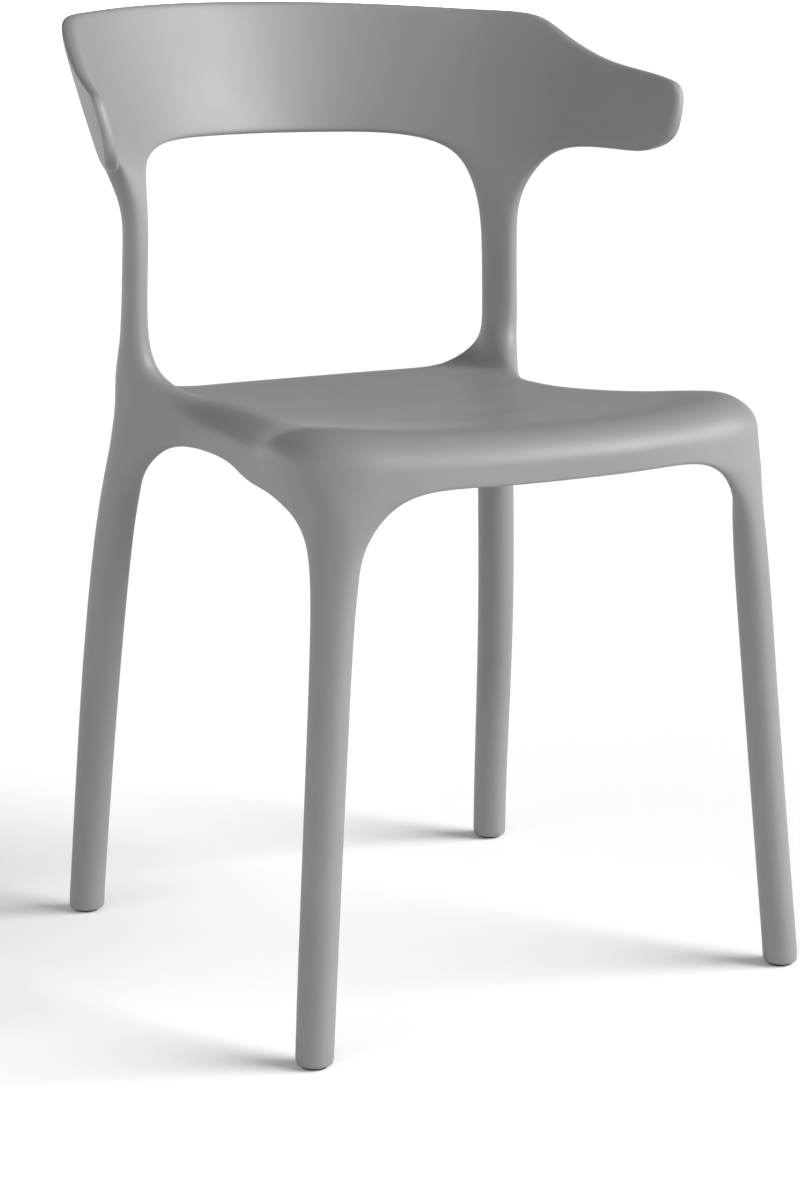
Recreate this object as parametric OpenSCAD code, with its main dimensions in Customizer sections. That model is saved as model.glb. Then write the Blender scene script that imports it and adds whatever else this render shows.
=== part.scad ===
// Stacking armchair: one thin plastic shell whose seat, legs, uprights and horned backrest flow together.
// The moulding is one smooth subdivision surface, divided into named regions that meet face to face.

/* [Seat] */
// Height of the seat's side rim at its lowest, near the middle
seat_h = 440; // [425:1:460]
// Rise of the seat's front corners above that
front_rise = 15; // [8:1:20]
// Depth of the hollow pressed into the middle of the seat
dish = 7; // [0:0.5:12]
// Radius with which the top rolls over into the apron
roll_r = 13; // [8:1:18]
// Thickness of the seat and of the aprons
wall = 5; // [3:0.5:7]

/* [Legs] */
// Thickness of a front leg at the foot
front_foot_d = 28; // [26:0.5:32]
// Thickness of a rear leg at the foot
rear_foot_d = 29; // [26:0.5:32]
// Half the distance between the front feet
front_foot_x = 211.5; // [205:0.5:220]
// Half the distance between the rear feet
rear_foot_x = 200.5; // [195:0.5:210]
// Half the distance from the front feet to the rear feet
foot_y = 202.5; // [195:0.5:210]

/* [Backrest] */
// Highest point of the backrest
back_h = 750; // [735:1:765]
// Height of the opening's top edge
opening_top = 639; // [625:1:650]
// Radius of the backrest's inner face at that height
back_r = 233.5; // [225:0.5:240]
// How far the backrest leans outwards, for each millimetre up
lean = 0.34; // [0.25:0.01:0.4]
// Thickness of the backrest
back_t = 12; // [9:0.5:14]

/* [Feet] */
// How far the sole stands below the leg
sole_h = 2; // [1.5:0.5:3]
// Diameter of the sole
sole_d = 20; // [18:0.5:21]
// Diameter of the plug and of its socket in the leg
plug_d = 14; // [12:0.5:15]
// Length of the plug
plug_l = 24; // [15:1:30]

/* [Hidden] */
$fn = 48;
shell_grey = [0.43, 0.44, 0.45];
rubber_grey = [0.12, 0.12, 0.13];

// Everything below is laid out about the middle of the four feet, and the frame's origin is the middle of
// the whole outline, which the backrest moves this far back.
outline_mid_y = 33;

// ---- Stations of the right half, numbered from the middle of the front round to the middle of the back.
// Five steps to the front corner, ten along the side and five along the back. The front leg hangs from
// stations 3 to 7, and the rear leg and the upright share stations 13 to 17.
side_steps = 10;
half_steps = 5;
half_ring = side_steps + 2 * half_steps;
ring_n = 2 * half_ring;
leg_span = 4;
front_k = half_steps - leg_span / 2;
rear_k = half_steps + side_steps - leg_span / 2;

// The rim, where the flat top begins to roll over: x, y, the height above seat_h, how far the roll-over
// reaches outwards and how far down.
rim = [[0, -200, 0.6 * front_rise, roll_r + 6, roll_r + 5],
       [56, -198, 0.62 * front_rise, roll_r + 6, roll_r + 5],
       [102.5, -191, 0.7 * front_rise, roll_r + 7, roll_r + 4],
       [136.5, -183.5, 0.82 * front_rise, roll_r + 9, roll_r + 4],
       [163, -177, 0.97 * front_rise, roll_r + 12, roll_r + 3],
       [184, -159, front_rise, roll_r + 14.5, roll_r + 2],
       [187.5, -132, 0.92 * front_rise, roll_r + 11.5, roll_r + 3],
       [182, -107, 0.7 * front_rise, roll_r + 9, roll_r + 4],
       [173, -80, 0.45 * front_rise, roll_r + 7, roll_r + 4],
       [165, -50, 0.25 * front_rise, roll_r + 6.5, roll_r + 4],
       [156.5, -19, 0.1 * front_rise, roll_r + 5, roll_r + 3], [148, 19.5, 0, roll_r + 3, roll_r + 2],
       [147.5, 55, 0, roll_r, roll_r], [147.5, 88, 1, roll_r, roll_r], [150, 116, 1, roll_r, roll_r],
       [150, 140, 0, roll_r, roll_r], [146, 166, 0, roll_r, roll_r], [134, 181, 0, roll_r, roll_r],
       [92, 184, 0, roll_r, roll_r], [45, 185, 0, roll_r, roll_r], [0, 185, 0, roll_r, roll_r]];
// The hem, which is the outer lower edge of the aprons, at the same stations: x, y, z.
hem = [[0, -217, 409], [62, -216, 409], [120, -211, 411.5], [147, -206, 401], [169, -203, 398],
       [193, -196, 399], [199, -175, 396], [199, -151, 391], [196, -112, 401], [188, -70, 400],
       [177, -30, 401], [166, 10, 405], [163, 62, 406.5], [165, 118, 404], [186, 144, 398],
       [194, 163, 397], [184, 177, 396], [152, 186, 395], [106, 191, 404], [52, 192, 405], [0, 192, 405]];
// Inner corners round the leg tops, at the legs' own stations: under the rim, then down to the hem.
front_inner = [[[128, -184, 443], [145, -172, 443], [158, -155, 443], [170, -133, 442], [180, -106, 441]],
               [[137, -193, 430], [152, -184, 428], [165, -171, 428], [177, -153, 428], [187, -126, 428]],
               [[143, -199, 415], [157, -190, 413], [170, -177, 413], [182, -162, 413], [191, -139, 412]],
               [[147, -200, 405], [162, -192, 403], [173, -179, 403], [185, -165, 403], [193, -148, 400]],
               [[148, -200, 399], [164, -193, 396], [175, -181, 396], [187, -167, 395], [194, -150, 392]]];
rear_inner = [[[144, 100, 435], [147, 128, 435], [145, 152, 435], [140, 166, 435], [128, 176, 435]],
              [[156, 108, 424], [158, 134, 424], [157, 150, 424], [152, 166, 424], [136, 179, 424]],
              [[158, 113, 413], [163, 137, 411], [163, 151, 411], [158, 165, 411], [144, 180, 410]],
              [[159, 117, 406], [165, 140, 402], [167, 152, 402], [163, 166, 401], [149, 180, 401]],
              [[159, 120, 402], [166, 141, 396], [169, 153, 395], [165, 167, 395], [152, 180, 395]]];
// Where the roll-over ends round the rear leg, on the skin that runs from the leg up into the upright.
rear_outer = [[158, 94, 429], [185, 136, 431], [191, 158, 431], [180, 173, 431], [142, 188, 427]];

// ---- Sections. A leg or an upright is a ring of ten points, five outside and five inside.
leg_end = sole_h;
end_round = 7;
end_inset = 0.6;
uniform_step = 36;
// Leg sections, from the top: z, centre x, centre y, half the width across the corner, half the width
// along it, and the step between the five outer points.
front_foot_r = front_foot_d / 2;
rear_foot_r = rear_foot_d / 2;
front_middle = -45;
front_rows = [[372, 183.8, -186, 20, 11.6, 46], [345, 185.3, -187.4, 17.4, 12.8, 41],
              [308, 188.2, -188.6, 15.2, 13.7, 37],
              [200, 196.4, -193, 14.75, 13.3, uniform_step],
              [60, front_foot_x - 4, -foot_y + 2.9, front_foot_r + 0.3, front_foot_r - 0.6, uniform_step],
              [leg_end + end_round, front_foot_x, -foot_y, front_foot_r, front_foot_r - 0.4, uniform_step],
              [leg_end, front_foot_x, -foot_y, front_foot_r, front_foot_r - 0.4, uniform_step]];
rear_middle = 14;
rear_rows = [[374, 180, 163.4, 16.2, 16.2, 50], [345, 183.4, 168.4, 15.6, 15.6, 42],
             [300, 187.4, 174, 15.8, 15.8, 37], [200, 194.2, 183.3, 15.7, 15.7, uniform_step],
             [60, rear_foot_x - 2, foot_y - 4, rear_foot_r, rear_foot_r, uniform_step],
             [leg_end + end_round, rear_foot_x, foot_y, rear_foot_r, rear_foot_r, uniform_step],
             [leg_end, rear_foot_x, foot_y, rear_foot_r, rear_foot_r, uniform_step]];
// Upright's foot: the ten points of its ring, from the front outer corner backwards round to the front inner.
upright_foot = [[180.5, 133], [188.7, 144.2], [189.5, 156.5], [184.5, 168.5], [174.5, 176],
                [166.5, 170], [159.3, 158.5], [156.5, 148], [158, 139.5], [166.5, 131]];
foot_z = 457;
// Upright above it: z, centre x, centre y, half its length, half its thickness, the way its length points.
upright_rows = [[481, 174.9, 150.4, 16.3, 10.8, -64], [515, 174, 150.7, 16.8, 9.6, -65],
                [552, 173.2, 149.6, 16.6, 9.9, -63], [588, 171.7, 150.2, 19, 9.3, -53]];
squareness = 2.5;
// A cubic B-spline through a ring of ten is this much smaller than the ring.
ring_gain = 6 / (4 + 2 * cos(uniform_step));

// ---- Backrest: columns by the angle from straight back, rows from the lower edge to the upper edge.
back_y = 6;
vertical_below = 605;
horn_from = 65;
horn_flare = [0.042, 0.034, 0.0285, 0.0285, 0.0242];
horn_thinning = 0.1;
columns = [0, 14, 28, 40.5, 45.5, 51, 56, 60.5, 69, 77, 83, 87.8, 89.5];
lower = [[0, opening_top], [28, opening_top - 1], [40.5, opening_top - 12], [45.5, opening_top - 18],
         [56, opening_top - 21], [60.5, opening_top - 14], [69, opening_top - 10],
         [84, opening_top - 14], [89.5, opening_top - 8]];
upper = [[0, back_h], [14, back_h - 0.5], [28, back_h - 3], [40.5, back_h - 6.5], [51, back_h - 8.5],
         [56, back_h - 13], [60.5, back_h - 29], [69, back_h - 48], [77, back_h - 55.5],
         [84, back_h - 60], [89.5, back_h - 65]];
edge_band = 9;
tip_bulge = [-4.2, -1, -0.7, -1.3, -3.3];
tip_share = [[77, 0], [83, 0.35], [87.8, 0.85], [89.5, 1]];
// The lower part thickens towards the uprights, inwards and outwards, by angle and by row.
swell_in = [[28, 0], [40.5, 3.5], [51, 4.5], [60.5, 3], [77, 0]];
swell_in_rows = [1, 0.4, 0, 0, 0];
swell_out = [[28, 0], [40.5, 1], [51, 3], [60.5, 4], [77, 4], [89.5, 2]];
swell_out_rows = [1, 1, 0.8, 0.3, 0];
back_rows = 5;

// ---- Vertices of the control cage.
function lerp(a, b, t) = a + (b - a) * t;
function flat(v) = [v.x, v.y, 0];
function unit(v) = v / norm(v);
function flip(p, side) = [side * p.x, p.y, p.z];
function half_of(q) = q <= half_ring ? q : ring_n - q;
function side_of(q) = q <= half_ring ? 1 : -1;
function front_leg_at(k) = k >= front_k && k <= front_k + leg_span;
function rear_leg_at(k) = k >= rear_k && k <= rear_k + leg_span;

// Outward direction in plan at station k of a line.
function outward(line, k) =
    let (a = flat(line[max(k - 1, 0)]), b = flat(line[min(k + 1, half_ring)]),
         along = k == 0 || k == half_ring ? [k == 0 ? 1 : -1, 0, 0] : unit(b - a))
    [along.y, -along.x, 0];

function rim_at(k) = [rim[k].x, rim[k].y, seat_h + rim[k].z];
// Outer rows from the roll-over down to the hem, by their share of the way.
apron_shares = [0, 0.45, 0.85, 1];
function outer_at(k, row) =
    let (low = hem[k], top = rear_leg_at(k) ? rear_outer[k - rear_k]
                             : rim_at(k) + outward(rim, k) * rim[k][3] - [0, 0, rim[k][4]])
    row == 0 ? top : lerp(top, low, apron_shares[row]);
// Inner rows: row 0 lies under the rim, the others face the outer rows.
function inner_at(k, row) =
    front_leg_at(k) ? front_inner[row][k - front_k]
    : rear_leg_at(k) ? rear_inner[row][k - rear_k]
    : row == 0 ? rim_at(k) - [0, 0, wall]
    : outer_at(k, row - 1) - outward(row < 3 ? rim : hem, k) * wall;

// Top of the seat, as a grid: i across from -5 to 5, j from front to back. The middle is flat across and
// curls up late towards the sides; the dish is deepest a little in front of the middle.
side_curl = 2;
dish_skew = 0.9;
function grid_at(i, j, sheet) =
    let (s = i < 0 ? -1 : 1, a = abs(i), u = a / half_steps, v = j / side_steps,
         on_front = sheet_rim(a, sheet), on_back = sheet_rim(half_ring - a, sheet),
         on_side = sheet_rim(half_steps + j, sheet),
         mid_front = sheet_rim(0, sheet), mid_back = sheet_rim(half_ring, sheet),
         middle = lerp(mid_front, mid_back, v),
         curl = pow(u, side_curl),
         cross = [on_side.x * u, lerp(middle.y, on_side.y, curl), lerp(middle.z, on_side.z, curl)],
         along = lerp(on_front, on_back, v),
         sag = dish * (1 - curl) * sin(180 * pow(v, dish_skew)))
    j == 0 ? flip(on_front, s) : j == side_steps ? flip(on_back, s) : a == half_steps ? flip(on_side, s)
    : flip([lerp(along.x, cross.x, u), lerp(along.y, cross.y, 0.5), cross.z - sag], s);
function sheet_rim(k, sheet) = sheet == 0 ? rim_at(k) : inner_at(k, 0);

// Point v of a leg's ring on a given row: 0 to 4 outside, 5 to 9 inside.
function leg_at(rows, middle, row, v) =
    let (r = rows[min(row, len(rows) - 1)], grow = ring_gain * (row == len(rows) ? end_inset : 1),
         a = v < 5 ? (v - 2) * r[5] : 180 + (v - 7) * (2 * uniform_step - r[5]),
         across = r[3] * grow * sin(a), along = r[4] * grow * cos(a))
    [r[1] + along * cos(middle) - across * sin(middle),
     r[2] + along * sin(middle) + across * cos(middle), r[0]];
leg_rings = len(front_rows) + 1;

function oval(theta, length, thick) =
    pow(pow(abs(cos(theta)) / length, squareness) + pow(abs(sin(theta)) / thick, squareness),
        -1 / squareness);
function upright_at(row, v) =
    row == 0 ? [upright_foot[v].x, upright_foot[v].y, foot_z] :
    let (r = upright_rows[row - 1], theta = 18 + 36 * v, reach = oval(theta, r[3], r[4]) * ring_gain)
    [r[1] + reach * cos(theta + r[5]), r[2] + reach * sin(theta + r[5]), r[0]];

// Backrest point by column (negative on the left), row and face: 0 in front, 1 behind.
function back_at(m, row, face) =
    let (phi0 = columns[abs(m)], low = lookup(phi0, lower), high = lookup(phi0, upper),
         z = row == 0 ? low : row == 1 ? low + edge_band : row == 2 ? (low + high) / 2
             : row == 3 ? high - edge_band : high,
         phi = phi0 + lookup(phi0, tip_share) * tip_bulge[row],
         r = back_r + lean * (max(z, vertical_below) - opening_top)
             + horn_flare[row] * pow(max(0, phi - horn_from), 2)
             + (face == 0 ? -lookup(phi0, swell_in) * swell_in_rows[row]
                : back_t - horn_thinning * max(0, phi - horn_from + 10)
                  + lookup(phi0, swell_out) * swell_out_rows[row]))
    [sign(m) * r * sin(phi), back_y + r * cos(phi), z];

// ---- All vertices in one list, and where each block starts.
nx = 2 * half_steps + 1;
ny = side_steps + 1;
top_0 = 0;
under_0 = nx * ny;
outer_0 = 2 * nx * ny;
outer_rows = 4;
inner_0 = outer_0 + outer_rows * ring_n;
inner_rows = 5;
legs_0 = inner_0 + (inner_rows - 1) * ring_n;
upright_rings = len(upright_rows) + 1;
uprights_0 = legs_0 + 4 * leg_rings * 10;
back_0 = uprights_0 + 2 * upright_rings * 10;
last_m = len(columns) - 1;
// First station of each leg, going round: front right, rear right, rear left, front left.
leg_starts = [front_k, rear_k, ring_n - rear_k - leg_span, ring_n - front_k - leg_span];

cage = concat(
    [for (i = [-half_steps:half_steps], j = [0:side_steps]) grid_at(i, j, 0)],
    [for (i = [-half_steps:half_steps], j = [0:side_steps]) grid_at(i, j, 1)],
    [for (row = [0:outer_rows - 1], q = [0:ring_n - 1]) flip(outer_at(half_of(q), row), side_of(q))],
    [for (row = [1:inner_rows - 1], q = [0:ring_n - 1]) flip(inner_at(half_of(q), row), side_of(q))],
    [for (c = [0:3], row = [0:leg_rings - 1], v = [0:9])
        let (front = c == 0 || c == 3, side = c < 2 ? 1 : -1,
             w = side > 0 ? v : v < 5 ? 4 - v : 14 - v)
        flip(leg_at(front ? front_rows : rear_rows, front ? front_middle : rear_middle, row, w), side)],
    [for (c = [0:1], row = [0:upright_rings - 1], v = [0:9])
        let (side = c == 0 ? 1 : -1, w = side > 0 ? v : v < 5 ? 4 - v : 14 - v)
        flip(upright_at(row, w), side)],
    [for (m = [-last_m:last_m], face = [0:1], row = [0:back_rows - 1]) back_at(m, row, face)]);

// ---- Index of a vertex by its place.
function top_i(i, j) = (i + half_steps) * ny + j;
function wrap(q) = (q + ring_n) % ring_n;
function edge_i(q0) =
    let (q = wrap(q0), k = half_of(q), s = side_of(q),
         i = k <= half_steps ? k : k <= half_steps + side_steps ? half_steps : half_ring - k,
         j = k <= half_steps ? 0 : k <= half_steps + side_steps ? k - half_steps : side_steps)
    top_i(s * i, j);
function outer_i(q, row) = row < 0 ? edge_i(q) : outer_0 + row * ring_n + wrap(q);
function inner_i(q, row) = row == 0 ? under_0 + edge_i(q) : inner_0 + (row - 1) * ring_n + wrap(q);
function leg_i(c, row, v) =
    row < 0 ? (v < 5 ? outer_i(leg_starts[c] + v, outer_rows - 1)
                     : inner_i(leg_starts[c] + 9 - v, inner_rows - 1))
    : legs_0 + (c * leg_rings + row) * 10 + v;
function back_i(m, row, face) = back_0 + ((m + last_m) * 2 + face) * back_rows + row;
// Row -1 is the seat's rim and roll-over, the row past the last is the backrest's lower edge.
function upright_i(c, row, v) =
    let (q = leg_starts[c + 1] + (v < 5 ? v : 9 - v))
    row < 0 ? (v < 5 ? outer_i(q, 0) : edge_i(q))
    : row == upright_rings ? back_i(half_ring - q, 0, v < 5 ? 1 : 0)
    : uprights_0 + (c * upright_rings + row) * 10 + v;

// ---- Faces, each a region number and four vertices, anticlockwise from outside.
seat_part = 0;
back_part = 7;
leg_cut = 2;
upright_cut = [2, 4];
function is_rear_leg(q) = rear_leg_at(half_of(wrap(q))) && rear_leg_at(half_of(wrap(q + 1)));
function is_front_leg(q) = front_leg_at(half_of(wrap(q))) && front_leg_at(half_of(wrap(q + 1)));
function is_any_leg(q) = is_rear_leg(q) || is_front_leg(q);
function at_upright(m) =
    let (a = min(abs(m), abs(m + 1)), b = max(abs(m), abs(m + 1)))
    a >= half_ring - rear_k - leg_span && b <= half_ring - rear_k;

faces = concat(
    [for (i = [-half_steps:half_steps - 1], j = [0:side_steps - 1])
        [seat_part, top_i(i, j), top_i(i + 1, j), top_i(i + 1, j + 1), top_i(i, j + 1)]],
    [for (i = [-half_steps:half_steps - 1], j = [0:side_steps - 1])
        [seat_part, under_0 + top_i(i, j + 1), under_0 + top_i(i + 1, j + 1),
         under_0 + top_i(i + 1, j), under_0 + top_i(i, j)]],
    [for (row = [-1:outer_rows - 2], q = [0:ring_n - 1]) if (row >= 0 || !is_rear_leg(q))
        [seat_part, outer_i(q, row + 1), outer_i(q + 1, row + 1), outer_i(q + 1, row), outer_i(q, row)]],
    [for (row = [0:inner_rows - 2], q = [0:ring_n - 1])
        [seat_part, inner_i(q, row + 1), inner_i(q, row), inner_i(q + 1, row), inner_i(q + 1, row + 1)]],
    [for (q = [0:ring_n - 1]) if (!is_any_leg(q))
        [seat_part, inner_i(q, inner_rows - 1), inner_i(q + 1, inner_rows - 1),
         outer_i(q + 1, outer_rows - 1), outer_i(q, outer_rows - 1)]],
    [for (c = [0:3], row = [0:leg_rings - 1], v = [0:9])
        [row < leg_cut ? seat_part : 1 + c, leg_i(c, row, v), leg_i(c, row, (v + 1) % 10),
         leg_i(c, row - 1, (v + 1) % 10), leg_i(c, row - 1, v)]],
    [for (c = [0:3], v = [0:3])
        [1 + c, leg_i(c, leg_rings - 1, v + 1), leg_i(c, leg_rings - 1, v),
         leg_i(c, leg_rings - 1, 9 - v), leg_i(c, leg_rings - 1, 8 - v)]],
    [for (c = [0:1], row = [0:upright_rings], v = [0:9])
        [row < upright_cut[0] ? seat_part : row > upright_cut[1] ? back_part : 5 + c,
         upright_i(c, row - 1, v), upright_i(c, row - 1, (v + 1) % 10),
         upright_i(c, row, (v + 1) % 10), upright_i(c, row, v)]],
    [for (m = [-last_m:last_m - 1], row = [0:back_rows - 2])
        [back_part, back_i(m, row, 0), back_i(m + 1, row, 0),
         back_i(m + 1, row + 1, 0), back_i(m, row + 1, 0)]],
    [for (m = [-last_m:last_m - 1], row = [0:back_rows - 2])
        [back_part, back_i(m, row, 1), back_i(m, row + 1, 1),
         back_i(m + 1, row + 1, 1), back_i(m + 1, row, 1)]],
    [for (m = [-last_m:last_m - 1])
        [back_part, back_i(m, back_rows - 1, 0), back_i(m + 1, back_rows - 1, 0),
         back_i(m + 1, back_rows - 1, 1), back_i(m, back_rows - 1, 1)]],
    [for (m = [-last_m:last_m - 1]) if (!at_upright(m))
        [back_part, back_i(m, 0, 1), back_i(m + 1, 0, 1), back_i(m + 1, 0, 0), back_i(m, 0, 0)]],
    [for (row = [0:back_rows - 2])
        [back_part, back_i(last_m, row, 0), back_i(last_m, row, 1),
         back_i(last_m, row + 1, 1), back_i(last_m, row + 1, 0)]],
    [for (row = [0:back_rows - 2])
        [back_part, back_i(-last_m, row, 1), back_i(-last_m, row, 0),
         back_i(-last_m, row + 1, 0), back_i(-last_m, row + 1, 1)]]);

// ---- One step of Catmull-Clark subdivision.
function total(list) = list * [for (i = list) 1];
function sum3(list) = [for (axis = [0:2]) total([for (p = list) p[axis]])];
nv = len(cage);
nf = len(faces);
corners = [for (f = faces) each [f[1], f[2], f[3], f[4]]];
centres = [for (f = faces) (cage[f[1]] + cage[f[2]] + cage[f[3]] + cage[f[4]]) / 4];
// Corner c runs from its own vertex to the next one round its face.
function next_corner(c) = c % 4 == 3 ? c - 3 : c + 1;
function last_corner(c) = c % 4 == 0 ? c + 3 : c - 1;
// Every edge belongs to two corners, and the one that starts at the lower number owns it.
owners = [for (c = [0:4 * nf - 1]) if (corners[c] < corners[next_corner(c)]) c];
edge_keys = [for (c = owners) corners[c] * nv + corners[next_corner(c)]];
all_keys = [for (c = [0:4 * nf - 1]) corners[c] * nv + corners[next_corner(c)]];
edge_of = search([for (c = [0:4 * nf - 1])
    let (a = corners[c], b = corners[next_corner(c)]) min(a, b) * nv + max(a, b)], edge_keys);
twin_of = search([for (c = owners) corners[next_corner(c)] * nv + corners[c]], all_keys);
edge_points = [for (e = [0:len(owners) - 1])
    let (c = owners[e], ends = cage[corners[c]] + cage[corners[next_corner(c)]])
    (ends + centres[floor(c / 4)] + centres[floor(twin_of[e] / 4)]) / 4];
moved = [for (v = [0:nv - 1])
    let (at = search(v, corners, 0), n = len(at),
         ring = sum3([for (c = at) cage[corners[next_corner(c)]]]) / n,
         mean = sum3([for (c = at) centres[floor(c / 4)]]) / n)
    (mean + ring + (n - 2) * cage[v]) / n];
fine = concat(moved, centres, edge_points);
fine_faces = [for (c = [0:4 * nf - 1])
    [faces[floor(c / 4)][0], corners[c], nv + nf + edge_of[c], nv + floor(c / 4),
     nv + nf + edge_of[last_corner(c)]]];

// ---- One region as a closed solid: its own faces, and a fan across each cut.
// Groups the open edges into loops, one after another.
function loops(starts, ends) =
    len(starts) == 0 ? [] :
    let (first = starts[0], one = loop_from(starts, ends, first, first, 0),
         rest = [for (i = [0:len(starts) - 1]) if (len(search(starts[i], one)) == 0) i])
    concat([one], loops([for (i = rest) starts[i]], [for (i = rest) ends[i]]));
function loop_from(starts, ends, at, first, n) =
    n > 0 && at == first ? [] :
    concat([at], loop_from(starts, ends, ends[search(at, starts)[0]], first, n + 1));

module region(number) {
    own = [for (f = fine_faces) if (f[0] == number) f];
    own_corners = [for (f = own) each [f[1], f[2], f[3], f[4]]];
    edge_count = len(own_corners);
    forward = [for (c = [0:edge_count - 1]) own_corners[c] * len(fine) + own_corners[next_corner(c)]];
    backward = [for (c = [0:edge_count - 1]) own_corners[next_corner(c)] * len(fine) + own_corners[c]];
    twins = search(backward, forward);
    open = [for (c = [0:edge_count - 1]) if (twins[c] == []) c];
    rims = loops([for (c = open) own_corners[c]], [for (c = open) own_corners[next_corner(c)]]);
    hubs = [for (l = rims) sum3([for (i = l) fine[i]]) / len(l)];
    used = concat(fine, hubs);
    quads = [for (f = own) each [[f[3], f[2], f[1]], [f[4], f[3], f[1]]]];
    fans = [for (n = [0:len(rims) - 1]) let (l = rims[n])
            for (i = [0:len(l) - 1]) [l[i], l[(i + 1) % len(l)], len(fine) + n]];
    polyhedron(points = used, faces = concat(quads, fans), convexity = 8);
}

// ---- Moulding
module placed() {
    translate([0, -outline_mid_y, 0]) children();
}
module seat() {
    color(shell_grey) placed() region(seat_part);
}
module backrest() {
    color(shell_grey) placed() region(back_part);
}
module upright(side) {
    color(shell_grey) placed() region(side > 0 ? 5 : 6);
}
// A leg with the socket for its foot plug.
module leg(number, x, y) {
    color(shell_grey) placed() difference() {
        region(number);
        translate([x, y, 0]) cylinder(h = leg_end + plug_l, d = plug_d);
    }
}
module front_leg(side) {
    leg(side > 0 ? 1 : 4, side * front_foot_x, -foot_y);
}
module rear_leg(side) {
    leg(side > 0 ? 2 : 3, side * rear_foot_x, foot_y);
}

// ---- Foot: a soft sole with a plug that presses up into the leg.
module foot(x, y) {
    color(rubber_grey) placed() translate([x, y, 0]) {
        cylinder(h = sole_h, d = sole_d);
        cylinder(h = sole_h + plug_l, d = plug_d);
    }
}

seat();
front_leg(-1);  // front_leg_left
front_leg(1);  // front_leg_right
rear_leg(-1);  // rear_leg_left
rear_leg(1);  // rear_leg_right
upright(-1);  // upright_left
upright(1);  // upright_right
backrest();
foot(-front_foot_x, -foot_y);  // foot_front_left
foot(front_foot_x, -foot_y);  // foot_front_right
foot(-rear_foot_x, foot_y);  // foot_rear_left
foot(rear_foot_x, foot_y);  // foot_rear_right
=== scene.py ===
import math

import bmesh
import bpy
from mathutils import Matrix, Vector
from mathutils.kdtree import KDTree


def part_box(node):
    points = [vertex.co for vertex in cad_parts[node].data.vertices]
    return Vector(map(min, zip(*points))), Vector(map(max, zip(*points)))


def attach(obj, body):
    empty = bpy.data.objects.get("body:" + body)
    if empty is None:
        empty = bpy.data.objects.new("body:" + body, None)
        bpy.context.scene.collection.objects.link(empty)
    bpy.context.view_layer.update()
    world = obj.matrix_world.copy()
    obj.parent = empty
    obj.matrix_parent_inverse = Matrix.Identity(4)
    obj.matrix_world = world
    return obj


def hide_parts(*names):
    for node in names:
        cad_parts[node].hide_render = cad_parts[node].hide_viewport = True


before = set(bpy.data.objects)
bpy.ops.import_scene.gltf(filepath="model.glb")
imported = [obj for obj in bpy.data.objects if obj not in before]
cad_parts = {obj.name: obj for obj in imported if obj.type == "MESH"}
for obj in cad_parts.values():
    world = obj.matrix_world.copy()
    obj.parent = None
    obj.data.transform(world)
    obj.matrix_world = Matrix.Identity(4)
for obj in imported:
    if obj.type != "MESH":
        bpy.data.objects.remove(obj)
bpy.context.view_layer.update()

BODY = "chair"
SHELL_NODES = ["seat", "front_leg_left", "front_leg_right", "rear_leg_left", "rear_leg_right",
               "upright_left", "upright_right", "backrest"]
LEGS = {"front_leg_left": "foot_front_left", "front_leg_right": "foot_front_right",
        "rear_leg_left": "foot_rear_left", "rear_leg_right": "foot_rear_right"}
# Points nearer than this are one point.
WELD = 1e-5
# The points of one ring of a leg agree in height within this.
RING_HEIGHT = 0.0002
# Over this height from the leg's end the foot's socket takes up the middle, inside this radius.
SOCKET_HEIGHT = 0.03
SOCKET_REACH = 0.009
# Air between a glide's plug and its socket.
SLACK = 0.0002
PLUG_RADIUS = 0.007
RIB_PITCH = 0.004
# The glowing wall stands this far away all round, and the floor runs on a little behind it.
WALL_RADIUS = 40.0
FLOOR_REACH = 50.0


def put(name, data):
    obj = bpy.data.objects.new(name, data)
    bpy.context.collection.objects.link(obj)
    return obj


def point_tree(points):
    tree = KDTree(len(points))
    for i, p in enumerate(points):
        tree.insert(p, i)
    tree.balance()
    return tree


def circle(radius, steps):
    turns = [2 * math.pi * k / steps for k in range(steps)]
    return [(radius * math.cos(t), radius * math.sin(t)) for t in turns]


# ---------------------------------------------------------------- camera
def camera():
    data = bpy.data.cameras.new("camera")
    data.sensor_fit = "AUTO"
    data.sensor_width = 36.0
    data.lens = 86.9
    data.shift_x = 0.0
    data.shift_y = -0.150
    data.clip_start = 0.05
    data.clip_end = 300.0
    obj = put("camera", data)
    obj.location = (-1.1854, -1.9584, 0.775)
    obj.rotation_euler = (math.radians(90.0 - 8.805), 0.0, math.radians(-31.247))
    bpy.context.scene.camera = obj


# ---------------------------------------------------------------- moulding
# The CAD moulding is eight regions of one skin, each closed by caps where it meets the next. Here the
# regions are welded, their caps dropped and their triangles paired back into the quads they came from,
# so that one subdivision surface runs through the whole chair without a seam.
def unique(mesh):
    tree = point_tree([v.co for v in mesh.vertices])
    first = list(range(len(mesh.vertices)))
    for v in mesh.vertices:
        if first[v.index] == v.index:
            for _, j, _ in tree.find_range(v.co, WELD):
                if j > v.index and first[j] == j:
                    first[j] = v.index
    return first


def neighbours(tris):
    near = {}
    for t in tris:
        for k in range(3):
            near.setdefault(t[k], set()).update((t[k - 1], t[k - 2]))
    return near


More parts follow.
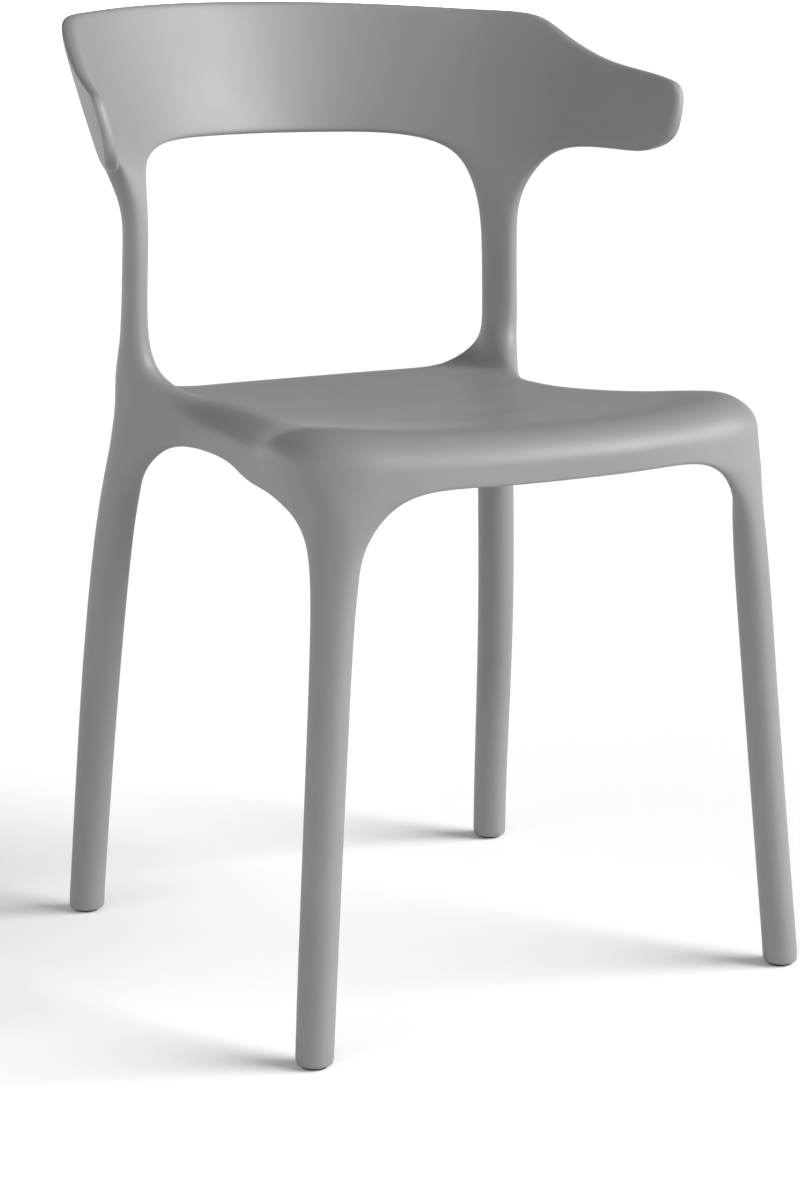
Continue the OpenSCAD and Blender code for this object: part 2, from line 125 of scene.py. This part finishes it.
# Triangles of a region without booleans: an edge between two vertices of more than four neighbours is
# the diagonal of a quad.
def region_quads(mesh, borders):
    first = unique(mesh)
    mesh.calc_loop_triangles()
    tris = [tuple(first[i] for i in t.vertices) for t in mesh.loop_triangles]
    near = neighbours(tris)
    places = {i: mesh.vertices[i].co for i in near}
    rim = {i for i, co in places.items() if any((co - p).length < WELD for p in borders(co))}
    rim |= {i for i, others in near.items() if others <= rim}
    tris = [t for t in tris if not all(i in rim for i in t)]
    near = neighbours(tris)
    by_edge = {}
    for n, t in enumerate(tris):
        for k in range(3):
            by_edge.setdefault(frozenset((t[k], t[(k + 1) % 3])), []).append(n)
    corners = {i for i, others in near.items() if len(others) > 4}
    used, faces = set(), []
    for edge, pair in by_edge.items():
        if len(pair) == 2 and edge <= corners and not used & set(pair):
            used.update(pair)
            t = tris[pair[0]]
            k = [i for i in range(3) if t[i] not in edge][0]
            far = [i for i in tris[pair[1]] if i not in edge][0]
            faces.append((t[k], t[(k + 1) % 3], far, t[(k + 2) % 3]))
    faces += [t for n, t in enumerate(tris) if n not in used]
    return [[mesh.vertices[i].co.copy() for i in f] for f in faces]


# A leg's vertices stand in level rings, one above the other. They come back from the top down, each
# ring's points in order round the leg and starting on the same side as the ring above.
def leg_rings(mesh, x, y, end):
    first = unique(mesh)
    rows = {}
    for v in mesh.vertices:
        r = math.hypot(v.co.x - x, v.co.y - y)
        if first[v.index] == v.index and (v.co.z > end + SOCKET_HEIGHT or r > SOCKET_REACH):
            rows.setdefault(round(v.co.z / RING_HEIGHT), []).append(v.co.copy())
    rows = [rows[z] for z in sorted(rows, reverse=True)]
    n = len(rows[0])
    rows = [r for r in rows if len(r) >= n]
    rings = []
    for row in rows:
        cx = sum(p.x for p in row) / len(row)
        cy = sum(p.y for p in row) / len(row)
        row.sort(key=lambda p: -math.hypot(p.x - cx, p.y - cy))
        row = sorted(row[:n], key=lambda p: math.atan2(p.y - cy, p.x - cx))
        if rings:
            above = rings[-1]
            ax, ay = sum(p.x for p in above) / n, sum(p.y for p in above) / n
            lead = Vector((above[0].x - ax, above[0].y - ay)).normalized()
            best = max(range(n), key=lambda k: Vector((row[k].x - cx, row[k].y - cy)).normalized().dot(lead))
            row = row[best:] + row[:best]
        rings.append(row)
    return rings


# The quads of a leg's skin, and the ring of points on which it meets the seat.
def leg_faces(name, end):
    low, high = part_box(LEGS[name])
    x, y = (low[0] + high[0]) / 2, (low[1] + high[1]) / 2
    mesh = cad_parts[name].data
    rings = leg_rings(mesh, x, y, end)
    mouth = [v.co for v in mesh.vertices if v.co.z < end + RING_HEIGHT]
    bore = min(math.hypot(p.x - x, p.y - y) for p in mouth)
    # The end of the leg: a flat rim with a soft inner edge, then the socket that holds the foot's plug.
    last, top, socket = rings[-1], high[2], bore + SLACK
    rim = [(bore + 0.0024, end), (bore + 0.0008, end), (bore + 0.0003, end + 0.0003), (socket, end + 0.001)]
    inside = [(socket, top - 0.001), (socket, top + SLACK), (bore * 0.8, top + 2 * SLACK)]
    for radius, z in rim + inside:
        ring = []
        for p in last:
            d = Vector((p.x - x, p.y - y)).normalized()
            ring.append(Vector((x + d.x * radius, y + d.y * radius, z)))
        rings.append(ring)
    n = len(last)
    faces = [[a[k], b[k], b[(k + 1) % n], a[(k + 1) % n]]
             for a, b in zip(rings, rings[1:]) for k in range(n)]
    return faces + [list(rings[-1])], rings[0]


def shell():
    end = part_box("front_leg_left")[0][2]
    faces, rims = [], []
    for name in LEGS:
        quads, rim = leg_faces(name, end)
        faces += quads
        rims += rim
    others = {n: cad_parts[n].data for n in SHELL_NODES if n not in LEGS}
    trees = {name: point_tree([v.co for v in mesh.vertices]) for name, mesh in others.items()}
    legs = point_tree(rims)
    for name, mesh in others.items():
        def borders(co, name=name):
            found = [t.find(co)[0] for other, t in trees.items() if other != name]
            return found + [legs.find(co)[0]]
        faces += region_quads(mesh, borders)
    points = [p for f in faces for p in f]
    mesh = bpy.data.meshes.new("moulded_shell")
    index, polygons = 0, []
    for f in faces:
        polygons.append(tuple(range(index, index + len(f))))
        index += len(f)
    mesh.from_pydata(points, [], polygons)
    bm = bmesh.new()
    bm.from_mesh(mesh)
    bmesh.ops.remove_doubles(bm, verts=bm.verts, dist=WELD)
    bmesh.ops.recalc_face_normals(bm, faces=bm.faces)
    bm.to_mesh(mesh)
    bm.free()
    for p in mesh.polygons:
        p.use_smooth = True
    obj = put("moulded_shell", mesh)
    smooth = obj.modifiers.new("smooth", "SUBSURF")
    smooth.levels = 2
    smooth.render_levels = 2
    return obj


# ---------------------------------------------------------------- feet
# A solid turned about the upright line through x, y, from a profile of radii and heights.
def turned(name, profile, x, y, steps=64):
    bm = bmesh.new()
    rings = [[bm.verts.new((x + a, y + b, z)) for a, b in circle(r, steps)] for r, z in profile]
    for a, b in zip(rings, rings[1:]):
        for k in range(steps):
            n = (k + 1) % steps
            bm.faces.new((a[k], a[n], b[n], b[k]))
    bm.faces.new(list(reversed(rings[0])))
    bm.faces.new(rings[-1])
    bmesh.ops.recalc_face_normals(bm, faces=bm.faces)
    mesh = bpy.data.meshes.new(name)
    bm.to_mesh(mesh)
    bm.free()
    for p in mesh.polygons:
        p.use_smooth = len(p.vertices) == 4
    return put(name, mesh)


# A push-in glide: a sole with a rounded edge under the leg's end, and a ribbed plug up in its socket.
def foot(node, end):
    low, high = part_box(node)
    x, y = (low[0] + high[0]) / 2, (low[1] + high[1]) / 2
    r, sole, top = (high[0] - low[0]) / 2, low[2], high[2]
    groove = PLUG_RADIUS * 0.93
    profile = [(r * 0.80, sole), (r * 0.90, sole + 0.0001), (r * 0.965, sole + 0.0004),
               (r * 0.995, sole + 0.0009), (r, sole + 0.0015), (r, end), (PLUG_RADIUS, end + 0.00001)]
    z = end + RIB_PITCH
    while z + RIB_PITCH < top:
        profile += [(groove, z), (PLUG_RADIUS, z + 0.0006), (PLUG_RADIUS, z + 0.0014), (groove, z + 0.0034)]
        z += RIB_PITCH
    profile += [(PLUG_RADIUS * 0.9, top - 0.001), (PLUG_RADIUS * 0.8, top)]
    return turned("glide_" + node.removeprefix("foot_"), profile, x, y)


# ---------------------------------------------------------------- materials
def node_tree(name):
    mat = bpy.data.materials.new(name)
    mat.use_nodes = True
    tree = mat.node_tree
    return mat, tree, tree.nodes["Principled BSDF"]


def add(tree, kind, **values):
    n = tree.nodes.new(kind)
    for key, value in values.items():
        if key in n.inputs:
            n.inputs[key].default_value = value
        else:
            setattr(n, key, value)
    return n


# Maps a texture's values from low to high onto a to b.
def ramp(tree, source, low, high, a, b):
    n = add(tree, "ShaderNodeMapRange")
    n.inputs["From Min"].default_value = low
    n.inputs["From Max"].default_value = high
    n.inputs["To Min"].default_value = a
    n.inputs["To Max"].default_value = b
    tree.links.new(source, n.inputs["Value"])
    return n.outputs["Result"]


def moulded_plastic():
    mat, tree, bsdf = node_tree("moulded_plastic")
    links = tree.links
    place = add(tree, "ShaderNodeTexCoord").outputs["Object"]
    # Slow drift of the pigment through the moulding.
    drift = add(tree, "ShaderNodeTexNoise", Scale=5.5, Detail=3.0, Roughness=0.5)
    links.new(place, drift.inputs["Vector"])
    # The mould's fine grain, which breaks up the shine and stands up as a faint bump.
    grain = add(tree, "ShaderNodeTexNoise", Scale=1500.0, Detail=2.0, Roughness=0.6)
    links.new(place, grain.inputs["Vector"])
    colour = add(tree, "ShaderNodeMix", data_type="RGBA")
    colour.inputs[6].default_value = (0.158, 0.1625, 0.166, 1)
    colour.inputs[7].default_value = (0.174, 0.1785, 0.182, 1)
    links.new(ramp(tree, drift.outputs["Fac"], 0.35, 0.65, 0.0, 1.0), colour.inputs[0])
    links.new(colour.outputs[2], bsdf.inputs["Base Color"])
    # Satin finish, a little smoother where hands and clothes polish it.
    polish = add(tree, "ShaderNodeTexNoise", Scale=14.0, Detail=4.0, Roughness=0.55)
    links.new(place, polish.inputs["Vector"])
    rough = add(tree, "ShaderNodeMath", operation="ADD")
    links.new(ramp(tree, polish.outputs["Fac"], 0.3, 0.7, 0.49, 0.56), rough.inputs[0])
    links.new(ramp(tree, grain.outputs["Fac"], 0.3, 0.7, -0.03, 0.03), rough.inputs[1])
    links.new(rough.outputs[0], bsdf.inputs["Roughness"])
    bump = add(tree, "ShaderNodeBump", Strength=0.25, Distance=0.00006)
    links.new(grain.outputs["Fac"], bump.inputs["Height"])
    # The slight unevenness of a thick moulding that has shrunk as it cooled.
    wave = add(tree, "ShaderNodeTexNoise", Scale=26.0, Detail=1.0, Roughness=0.4)
    links.new(place, wave.inputs["Vector"])
    soft = add(tree, "ShaderNodeBump", Strength=0.25, Distance=0.0003)
    links.new(wave.outputs["Fac"], soft.inputs["Height"])
    links.new(bump.outputs["Normal"], soft.inputs["Normal"])
    links.new(soft.outputs["Normal"], bsdf.inputs["Normal"])
    bsdf.inputs["IOR"].default_value = 1.49
    bsdf.inputs["Specular IOR Level"].default_value = 0.5
    return mat


def glide_rubber():
    mat, tree, bsdf = node_tree("glide_rubber")
    links = tree.links
    place = add(tree, "ShaderNodeTexCoord").outputs["Object"]
    scuff = add(tree, "ShaderNodeTexNoise", Scale=420.0, Detail=4.0, Roughness=0.65)
    links.new(place, scuff.inputs["Vector"])
    colour = add(tree, "ShaderNodeMix", data_type="RGBA")
    colour.inputs[6].default_value = (0.012, 0.012, 0.013, 1)
    colour.inputs[7].default_value = (0.030, 0.030, 0.031, 1)
    links.new(ramp(tree, scuff.outputs["Fac"], 0.4, 0.7, 0.0, 1.0), colour.inputs[0])
    links.new(colour.outputs[2], bsdf.inputs["Base Color"])
    links.new(ramp(tree, scuff.outputs["Fac"], 0.3, 0.7, 0.55, 0.75), bsdf.inputs["Roughness"])
    bump = add(tree, "ShaderNodeBump", Strength=0.4, Distance=0.00008)
    links.new(scuff.outputs["Fac"], bump.inputs["Height"])
    links.new(bump.outputs["Normal"], bsdf.inputs["Normal"])
    return mat


def pale_floor():
    mat, tree, bsdf = node_tree("pale_floor")
    place = add(tree, "ShaderNodeTexCoord").outputs["Object"]
    fine = add(tree, "ShaderNodeTexNoise", Scale=300.0, Detail=2.0)
    tree.links.new(place, fine.inputs["Vector"])
    tree.links.new(ramp(tree, fine.outputs["Fac"], 0.3, 0.7, 0.75, 0.85), bsdf.inputs["Roughness"])
    bsdf.inputs["Base Color"].default_value = (0.86, 0.86, 0.86, 1)
    bsdf.inputs["Specular IOR Level"].default_value = 0.2
    return mat


# ---------------------------------------------------------------- stage
def floor():
    mesh = bpy.data.meshes.new("floor")
    a = FLOOR_REACH
    mesh.from_pydata([(-a, -a, 0), (a, -a, 0), (a, a, 0), (-a, a, 0)], [], [(0, 1, 2, 3)])
    mesh.materials.append(pale_floor())
    obj = put("floor", mesh)


# A glowing white wall far away all round, so that the floor runs on into white at every angle.
# Its low part lights the chair as a white studio does, its high part is only seen.
def surround(name, low, high, lights, steps=96):
    mesh = bpy.data.meshes.new(name)
    mesh.from_pydata([(x, y, z) for z in (low, high) for x, y in circle(WALL_RADIUS, steps)], [],
                     [((k + 1) % steps, k, k + steps, (k + 1) % steps + steps) for k in range(steps)])
    mat, tree, bsdf = node_tree("white_" + name)
    bsdf.inputs["Base Color"].default_value = (0.9, 0.9, 0.9, 1)
    bsdf.inputs["Emission Color"].default_value = (1, 1, 1, 1)
    bsdf.inputs["Emission Strength"].default_value = 0.95
    mesh.materials.append(mat)
    obj = put(name, mesh)
    obj.visible_diffuse = lights
    obj.visible_glossy = lights
    obj.visible_shadow = lights


# A softbox far away in the given direction, which the chair sees under the given angle in degrees.
def softbox(name, towards, angle, strength):
    data = bpy.data.lights.new(name, "SUN")
    data.angle = math.radians(angle)
    data.energy = strength
    obj = put(name, data)
    obj.rotation_euler = Vector(towards).to_track_quat("Z", "Y").to_euler()


def light():
    world = bpy.data.worlds.new("studio")
    world.use_nodes = True
    back = world.node_tree.nodes["Background"]
    back.inputs["Color"].default_value = (1, 1, 1, 1)
    back.inputs["Strength"].default_value = 0.25
    bpy.context.scene.world = world
    softbox("key", (0.68, -0.58, 0.47), 44, 5.4)
    softbox("fill", (-0.8, -0.40, 0.42), 60, 1.05)


def settings():
    scene = bpy.context.scene
    scene.view_settings.view_transform = "Standard"
    scene.view_settings.look = "None"


camera()
floor()
surround("low_wall", -0.5, 6.0, True)
surround("high_wall", 6.0, 28.0, False)
light()
settings()
moulding = shell()
plastic = moulded_plastic()
rubber = glide_rubber()
moulding.data.materials.append(plastic)
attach(moulding, BODY)
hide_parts(*SHELL_NODES)
leg_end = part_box("front_leg_left")[0][2]
for node in LEGS.values():
    piece = foot(node, leg_end)
    piece.data.materials.append(rubber)
    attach(piece, BODY)
    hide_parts(node)
